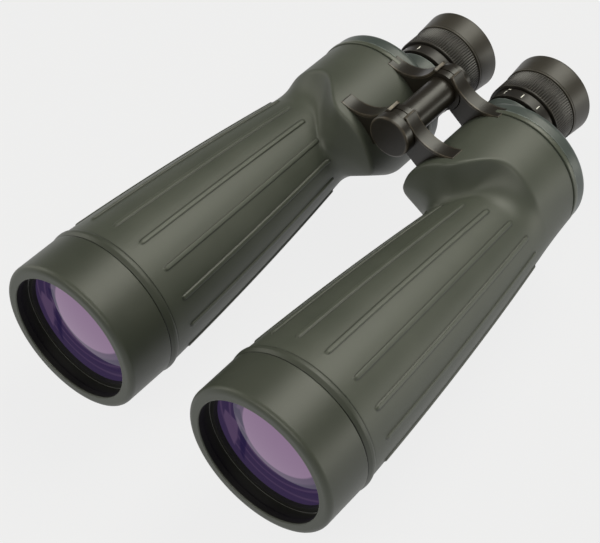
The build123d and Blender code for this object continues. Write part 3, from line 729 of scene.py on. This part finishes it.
def bossShape(side, look, lid):
    # a turned collar whose flared foot follows the lid's rounded edge
    node = side + "_rear_cover"
    rear = boxMm(side + "_armour")[1][1] + lid["depth"]
    top = boxMm(node)[1][1]
    axis, centre = axisOf(node), axisOf(side + "_focus_ring")
    bend, flatRadius = lid["edgeRound"], radiusOf(node) - lid["rimProud"] - lid["edgeRound"]
    turn = np.linspace(0.0, 2 * math.pi, lid["turns"], endpoint=False)[:, None]
    t = np.linspace(0.0, 1.0, look["footSteps"])[None]
    reach = look["radius"] + look["flare"] * (1 - np.cos(t * math.pi / 2))
    x, z = centre[0] + reach * np.cos(turn), centre[1] + reach * np.sin(turn)
    out = np.clip(np.hypot(x - axis[0], z - axis[1]) - flatRadius, 0.0, bend - look["edgeRoom"])
    surface = rear - bend + np.sqrt(bend ** 2 - out ** 2)
    foot = np.stack([x, surface + look["flare"] * (1 - np.sin(t * math.pi / 2)) - look["sink"], z], axis=-1)
    collar, arcs = softened([(look["bore"], top, 0.0), (look["radius"], top, look["topRound"]),
                             (look["radius"], rear + look["straight"], 0.0)], closed=False)
    boss = np.concatenate([lathe(centre, collar, lid["turns"]), foot], axis=1)
    edge = np.concatenate([arcs, np.zeros(foot.shape[1])])
    piece = gridMesh(side + "CoverBoss", boss, "cover", side + "_barrel", sides[side], edge=edge[None])


for side in sides:
    coverShape(side, coverLook)
    bossShape(side, bossLook, coverLook)
print("stage: covers made")


# Eyepieces: knurled ring, scale band with its ticks, rubber eyecup

ringLook = {
    "flutes": 96, "samples": 8, "depth": 0.6, "endRound": 0.7, "bore": 17.2, "neckBore": 19.1, "neck": 20.9,
    "neckStep": 1.0, "stepSlope": 0.1, "skirt": 20.4, "waveLift": 0.5, "waveGain": 0.9, "gripFrom": 21.4,
    "gripRise": 1.0, "gripInset": 0.5, "rubFrom": 22.0, "edgeRub": 0.7, "ridgeRub": 0.35,
}
bandLook = {"wall": 1.2, "rearGap": 0.5, "rearRound": 0.35, "frontRound": 0.45, "rub": 0.5, "turns": 160}
tickLook = {"length": 3.4, "width": 0.55, "lift": 0.03, "sink": 0.2, "bevel": 0.05, "steps": 7, "shift": 0.4,
            "turns": {"left": (60.0, 89.0, 120.0), "right": (107.0, 137.0, 167.0)},
            "dashTurn": 5.6, "dashFront": 1.6, "dashRear": 1.05}
cupLook = {
    "root": 23.6, "end": 25.1, "lipRound": 1.5, "throat": 20.95, "throatRun": 6.0, "throatRound": 0.6,
    "mouth": 21.9, "gap": 0.15, "beadProud": 0.25, "beadRear": 1.1, "beadRound": 0.35, "grooveAt": 1.3,
    "grooveDrop": 0.1, "flareAt": 1.6, "flareRise": 0.25, "flareRound": 0.5, "turns": 160, "arcSteps": 6,
    "blackReach": 0.4, "blackFade": 0.6, "blackFrom": 0.8, "blackRise": 1.0, "black": 0.85,
}


def ringShape(side, look):
    # a turned ring whose grip dips between ridges, as a rounded wave of the angle
    node = side + "_focus_ring"
    front, rear = [corner[1] for corner in boxMm(node)]
    axis, radius = axisOf(node), radiusOf(node)
    start, end = boxMm(side + "_scale_band")[1][1], boxMm(side + "_eyecup")[0][1]
    step = end - look["neckStep"]
    outline, arcs = softened([
        (look["bore"], front, broken),
        (look["bore"], step, broken),
        (look["neckBore"], step + look["stepSlope"], broken),
        (look["neckBore"], rear, eased),
        (look["neck"], rear, eased),
        (look["neck"], end, sharp),
        (radius, end, look["endRound"]),
        (radius, start, look["endRound"]),
        (look["skirt"], start + look["stepSlope"], broken),
        (look["skirt"], front, broken),
    ])
    turns = look["flutes"] * look["samples"]
    angle = np.linspace(0.0, 2 * math.pi, turns, endpoint=False)[:, None]
    wave = smooth(look["waveLift"] + look["waveGain"] * np.cos(angle * look["flutes"]))
    grip = smooth((outline[:, 0] - look["gripFrom"]) / look["gripRise"])[None]
    for inset in (outline[:, 1] - start, end - outline[:, 1]):
        grip = grip * smooth((inset - look["gripInset"]) / look["gripInset"])[None]
    reach = outline[:, 0][None] - look["depth"] * (1 - wave) * grip
    x, z = axis[0] + reach * np.cos(angle), axis[1] + reach * np.sin(angle)
    points = np.stack([x, np.broadcast_to(outline[:, 1][None], x.shape), z], axis=-1)
    edge = (arcs * (outline[:, 0] > look["rubFrom"]))[None] * look["edgeRub"] + wave * grip * look["ridgeRub"]
    piece = gridMesh(side + "FocusRing", points, "ring", side + "_focus", sides[side], wrapV=True,
                     edge=np.clip(edge, 0.0, 1.0))
    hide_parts(node)


def bandShape(side, look):
    # a turned band
    node = side + "_scale_band"
    front, rear = [corner[1] for corner in boxMm(node)]
    radius = radiusOf(node)
    outline, arcs = softened([
        (radius - look["wall"], front, crisp),
        (radius - look["wall"], rear - look["rearGap"], crisp),
        (radius, rear - look["rearGap"], look["rearRound"]),
        (radius, front, look["frontRound"]),
    ])
    band = lathe(axisOf(node), outline, look["turns"])
    piece = gridMesh(side + "ScaleBand", band, "ring", side + "_focus", sides[side], wrapV=True,
                     edge=arcs[None] * look["rub"])
    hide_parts(node)


def tickShapes(side, look):
    # curved strips on the band: angle across, station along; the last tick has a dash beside it
    node = side + "_scale_band"
    front, rear = [corner[1] for corner in boxMm(node)]
    axis, radius = axisOf(node), radiusOf(node)

    def strip(name, degrees, spread, start, end):
        turn = np.radians(degrees + np.linspace(-spread, spread, look["steps"]))[:, None]
        inner, outer = radius - look["sink"], radius + look["lift"]
        reach = np.array([inner, outer, outer, inner])[None]
        station = np.array([start, start + look["bevel"], end - look["bevel"], end])[None]
        x, z = axis[0] * sides[side] + reach * np.cos(turn), axis[1] + reach * np.sin(turn)
        points = np.stack([x, np.broadcast_to(station, x.shape), z], axis=-1)
        gridMesh(name, points, "tick", side + "_focus", wrapU=False, wrapV=True)

    middle = (front + rear) / 2 - look["shift"]
    spread = math.degrees(look["width"] / 2 / radius)
    for number, degrees in enumerate(look["turns"][side]):
        strip(f"{side}Tick{number}", degrees, spread, middle - look["length"] / 2, middle + look["length"] / 2)
    dash = look["dashTurn"] / 2
    strip(side + "Minus", look["turns"][side][-1] - dash, dash, rear - look["dashFront"], rear - look["dashRear"])


def cupShape(side, look):
    # a turned rubber cup that flares to a rolled lip, with a thin bead at its root
    node = side + "_eyecup"
    front, rear = [corner[1] for corner in boxMm(node)]
    bead = look["root"] + look["beadProud"]
    outline, arcs = softened([
        (look["throat"], front + look["gap"], sharp),
        (look["throat"], front + look["throatRun"], look["throatRound"]),
        (look["mouth"], rear, look["lipRound"]),
        (look["end"], rear, look["lipRound"]),
        (look["root"] + look["flareRise"], front + look["flareAt"], look["flareRound"]),
        (look["root"] - look["grooveDrop"], front + look["grooveAt"], broken),
        (bead, front + look["beadRear"], eased),
        (bead, front + look["gap"], look["beadRound"]),
    ], look["arcSteps"])
    cup = lathe(axisOf(node), outline, look["turns"])
    # painted shade: the cup's inside darkens towards black
    inside = smooth((look["mouth"] + look["blackReach"] - outline[:, 0]) / look["blackFade"])
    inside = inside * smooth((rear - look["blackFrom"] - outline[:, 1]) / look["blackRise"])
    edge = arcs * (outline[:, 1] < front + look["grooveAt"]) * (outline[:, 0] > look["root"])
    piece = gridMesh(side + "EyecupRubber", cup, "eyecup", side + "_focus", sides[side], wrapV=True,
                     edge=edge[None], inside=look["black"] * inside[None])
    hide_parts(node)


for side in sides:
    ringShape(side, ringLook)
    bandShape(side, bandLook)
    tickShapes(side, tickLook)
    cupShape(side, cupLook)
print("stage: eyepieces made")


# Hinge: sleeve, cap and the rounded skins of the arms' flanges

sleeveLook = {"bore": 5.1, "round": 0.5, "rub": 0.4, "turns": 96}
capLook = {"round": 1.1, "rearRound": 0.5, "bore": 8.3, "face": 2.0, "rubBand": 1.5, "rub": 0.25, "turns": 128,
           "arcSteps": 6}
flangeLook = {"radius": 24.0, "middleX": 27.5, "rise": 23.3, "inner": 207.0, "outer": 292.5, "thick": 1.8,
              "proud": 0.06, "round": 0.55, "steps": 60, "endTurn": 0.15, "endShare": (0.02, 0.8), "rub": 0.6}


def sleeveShape(look):
    # a turned tube
    front, rear = [corner[1] for corner in boxMm("hinge_sleeve")]
    radius = radiusOf("hinge_sleeve")
    outline, arcs = softened([(look["bore"], front, sharp), (look["bore"], rear, sharp),
                              (radius, rear, look["round"]), (radius, front, look["round"])])
    tube = lathe(axisOf("hinge_sleeve"), outline, look["turns"])
    piece = gridMesh("hingeSleeve", tube, "hinge", "left_barrel", wrapV=True, edge=arcs[None] * look["rub"])
    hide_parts("hinge_sleeve")


def capShape(look):
    # a turned cap: flat face, round edge, hollow behind
    front, rear = [corner[1] for corner in boxMm("front_cap")]
    radius = radiusOf("front_cap")
    floor = front + look["face"]
    outline, arcs = softened([
        (0.0, front, 0.0), (radius, front, look["round"]), (radius, rear, look["rearRound"]),
        (look["bore"], rear, eased), (look["bore"], floor, eased), (0.0, floor, 0.0),
    ], look["arcSteps"], False)
    edge = arcs * (outline[:, 0] > radius - look["rubBand"]) * (outline[:, 1] < front + look["rubBand"])
    cap = lathe(axisOf("front_cap"), outline, look["turns"])
    piece = gridMesh("frontCap", cap, "hinge", "tripod_cap", edge=edge[None] * look["rub"])
    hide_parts("front_cap")


def flangeShape(side, node, look):
    # a rounded rectangle carried along an arc: thickness outwards from the arc's centre, width along Y
    front, rear = [corner[1] for corner in boxMm(side + node)]
    centre = np.array([look["middleX"], axisOf("hinge_sleeve")[1] + look["rise"]])
    proud = look["proud"]
    inner, outer = look["radius"] - proud, look["radius"] + look["thick"] + proud
    section, arcs = softened([
        (inner, front - proud, look["round"]), (outer, front - proud, look["round"]),
        (outer, rear + proud, look["round"]), (inner, rear + proud, look["round"]),
    ])
    small, large = look["endShare"]
    turn = np.linspace(look["inner"], look["outer"], look["steps"])
    ends = (look["inner"] - look["endTurn"], look["outer"] + look["endTurn"])
    turn = np.radians(np.concatenate([[ends[0]] * 2, turn, [ends[1]] * 2]))[:, None]
    shrink = np.concatenate([[small, large], np.ones(look["steps"]), [large, small]])[:, None]
    middle = section.mean(axis=0)
    reach = middle[0] + (section[:, 0] - middle[0])[None] * shrink
    station = middle[1] + (section[:, 1] - middle[1])[None] * shrink
    x, z = centre[0] + reach * np.cos(turn), centre[1] + reach * np.sin(turn)
    edge = look["rub"] * np.broadcast_to(arcs[None], x.shape)
    edge[:2], edge[-2:] = look["rub"], look["rub"]
    piece = gridMesh(side + node.title().replace("_", "") + "Flange", np.stack([x, station, z], axis=-1), "hinge",
                     side + "_barrel", sides[side], wrapU=False, wrapV=True, edge=edge)


sleeveShape(sleeveLook)
capShape(capLook)
for side in sides:
    for node in ("_front_arm", "_rear_arm"):
        flangeShape(side, node, flangeLook)
print("stage: hinge made")


# Finishes of the solids that stay as they are

keptFinishes = {
    "black": ("objective_cell", "lens_retainer", "lens_spacer", "baffle_ring", "lens_cell", "focus_sleeve"),
    "alloy": ("body_casting", "prism_shelf"),
    "steel": ("prism_clips", "snap_ring", "cover_screws", "arm_screws", "hinge_shaft"),
    "glass": ("field_lens", "front_prism", "rear_prism"),
    "flint": ("flint_lens",),
    "hinge": ("front_arm", "rear_arm", "rear_cap"),
    "brass": ("hinge_washers",),
}
for finish, kept in keptFinishes.items():
    for name in kept:
        for node in (name, "left_" + name, "right_" + name):
            if node in nodes:
                nodes[node].data.materials.clear()
                nodes[node].data.materials.append(finishes[finish])
print("stage: solids finished")


# Floor, light and camera; lengths in metres, power in watts

floorLook = {"half": 3.0, "drop": 0.016, "glow": 0.82, "tone": 0.03, "rough": 0.9}
lampTone = (1.0, 0.985, 0.87)
lampTarget = (0.0, 0.0, 0.05)
lampLooks = {
    "keyLight": {"place": (0.15, 0.50, 1.10), "size": (0.85, 0.85), "power": 14.5},
    "frontFill": {"place": (0.10, -0.95, 0.85), "size": (1.20, 0.45), "power": 9.0},
    "leftFill": {"place": (-0.95, -0.25, 0.45), "size": (0.60, 0.70), "power": 3.0},
    "rightFill": {"place": (0.95, 0.45, 0.14), "size": (0.70, 0.25), "power": 3.2},
}
skyGrey = 0.12
view = {"place": (0.3583, -0.4878, 0.6393), "azimuth": 38.76, "elevation": 46.06, "focalPixels": 1573.45,
        "width": 600, "sensor": 36.0}


def floorPiece(look):
    # set low enough for the barrel that swings down as the hinge closes
    wide, drop = look["half"], -look["drop"]
    corners = [(-wide, -wide, drop), (wide, -wide, drop), (wide, wide, drop), (-wide, wide, drop)]
    mesh = bpy.data.meshes.new("studioFloor")
    mesh.from_pydata(corners, [], [(0, 1, 2, 3)])
    paper = Finish("floorPaper", Base_Color=tone(*[look["tone"]] * 3), Roughness=look["rough"],
                   Emission_Color=tone(*[look["glow"]] * 3), Emission_Strength=1.0, Specular_IOR_Level=0.0)
    mesh.materials.append(paper.material)
    floor = bpy.data.objects.new("studioFloor", mesh)
    bpy.context.scene.collection.objects.link(floor)


def softbox(name, look):
    lamp = bpy.data.lights.new(name, "AREA")
    lamp.shape = "RECTANGLE"
    lamp.size, lamp.size_y = look["size"]
    lamp.energy = look["power"]
    lamp.color = lampTone
    box = bpy.data.objects.new(name, lamp)
    bpy.context.scene.collection.objects.link(box)
    box.location = look["place"]
    box.rotation_euler = (Vector(look["place"]) - Vector(lampTarget)).to_track_quat("Z", "Y").to_euler()


def skyPiece(grey):
    sky = bpy.data.worlds.new("studioSky")
    sky.use_nodes = True
    sky.node_tree.nodes["Background"].inputs["Color"].default_value = tone(grey, grey, grey)
    bpy.context.scene.world = sky


def cameraPiece(look):
    # columns of the camera's turn: right, up and back, from its azimuth and elevation
    a, e = math.radians(look["azimuth"]), math.radians(look["elevation"])
    right = np.array([math.cos(a), math.sin(a), 0.0])
    back = np.array([math.sin(a) * math.cos(e), -math.cos(a) * math.cos(e), math.sin(e)])
    turn = np.stack([right, np.cross(back, right), back], axis=1)
    lens = bpy.data.cameras.new("photoCamera")
    lens.sensor_fit = "HORIZONTAL"
    lens.sensor_width = look["sensor"]
    lens.lens = look["focalPixels"] * look["sensor"] / look["width"]
    eye = bpy.data.objects.new("photoCamera", lens)
    eye.matrix_world = Matrix.Translation(look["place"]) @ Matrix(turn.tolist()).to_4x4()
    bpy.context.scene.collection.objects.link(eye)
    bpy.context.scene.camera = eye


floorPiece(floorLook)
for name, look in lampLooks.items():
    softbox(name, look)
skyPiece(skyGrey)
bpy.context.scene.view_settings.view_transform = "Standard"
cameraPiece(view)

print("stage: scene ready")
